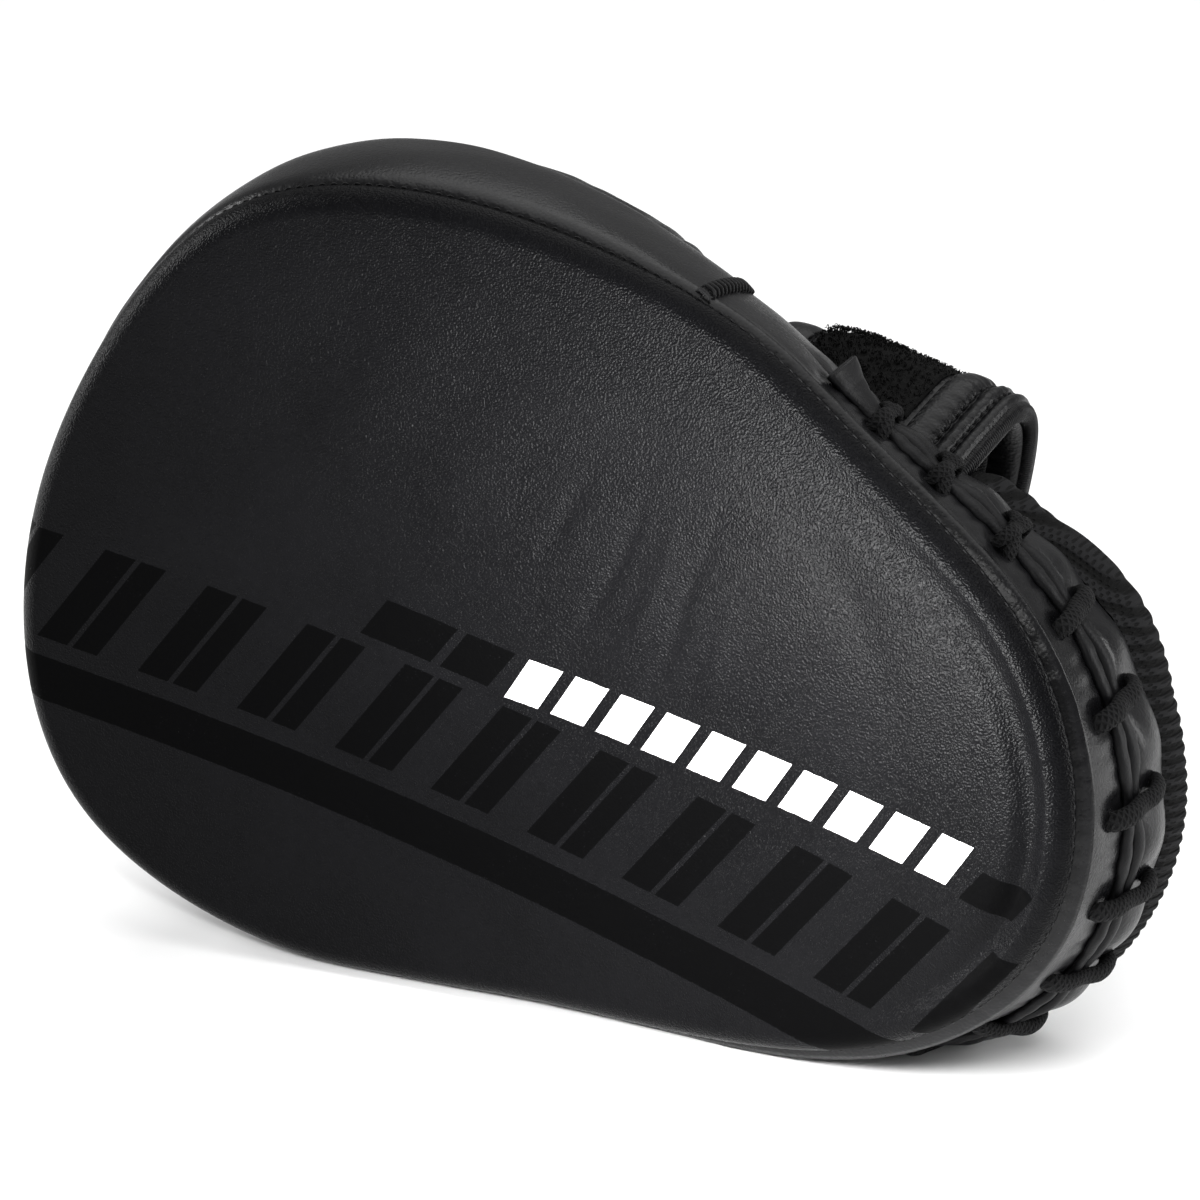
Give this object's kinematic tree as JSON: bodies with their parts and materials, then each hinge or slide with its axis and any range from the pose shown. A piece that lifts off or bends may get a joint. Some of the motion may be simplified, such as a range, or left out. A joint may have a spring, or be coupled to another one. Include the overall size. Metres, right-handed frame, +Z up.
{
  "type": "focus mitt",
  "caption": "Curved, laced coaching mitt with a concave padded strike face, a finger hood, a padded cuff and a hook-and-loop wrist strap.",
  "frame": {"origin": "middle of the mitt's bounding box, on the surface that it stands on", "axes": "+X from the finger end to the wrist end, +Y from the strike face to the hand side, +Z up"},
  "size_m": [0.2841, 0.1334, 0.2045],
  "materials": {
    "strike_leather": "semi-gloss pebbled synthetic leather with dull printed bands",
    "gusset_leather": "smooth semi-gloss synthetic leather",
    "back_leather": "semi-gloss grained synthetic leather",
    "palm_leather": "matt grained synthetic leather",
    "binding": "smooth folded leather edge",
    "foam": "closed-cell foam sheet",
    "gel_core": "latex and gel core",
    "lining": "smooth woven lining",
    "spacer_mesh": "ribbed spacer mesh",
    "pile": "fuzzy loop pile",
    "hook_tape": "moulded hook tape",
    "lace": "round braided cotton cord",
    "thread": "bonded sewing thread"
  },
  "bodies": {
    "root": {"strike_panel": "strike_leather", "strike_foam": "foam", "core_foam": "gel_core", "rear_foam": "foam", "back_panel": "back_leather", "finger_gusset": "gusset_leather", "heel_gusset_front": "gusset_leather", "heel_gusset_rear": "gusset_leather", "slit_tongue": "lining", "lace_tab": "gusset_leather", "lace_cord": "lace", "join_stitches": "thread", "finger_hood": "back_leather", "hood_padding": "foam", "hood_lining": "lining", "hood_binding": "binding", "palm_cushion": "palm_leather", "wrist_pad_foam": "foam", "wrist_pad_mesh": "spacer_mesh", "cuff_shell": "back_leather", "cuff_padding": "foam", "cuff_lining": "lining", "cuff_rim": "binding", "cuff_front_binding": "binding", "loop_pile": "pile", "strap_root": "back_leather"},
    "strap": {"strap_leather": "back_leather", "hook_patch": "hook_tape", "strap_tab": "binding"}
  },
  "joints": [
    {"name": "strap_open", "type": "hinge", "parent": "root", "child": "strap", "pos_m": [0.01019, 0.0313, 0.01166], "axis": [-0.9613, 0, 0.2756], "range_deg": [0, 95]}
  ]
}
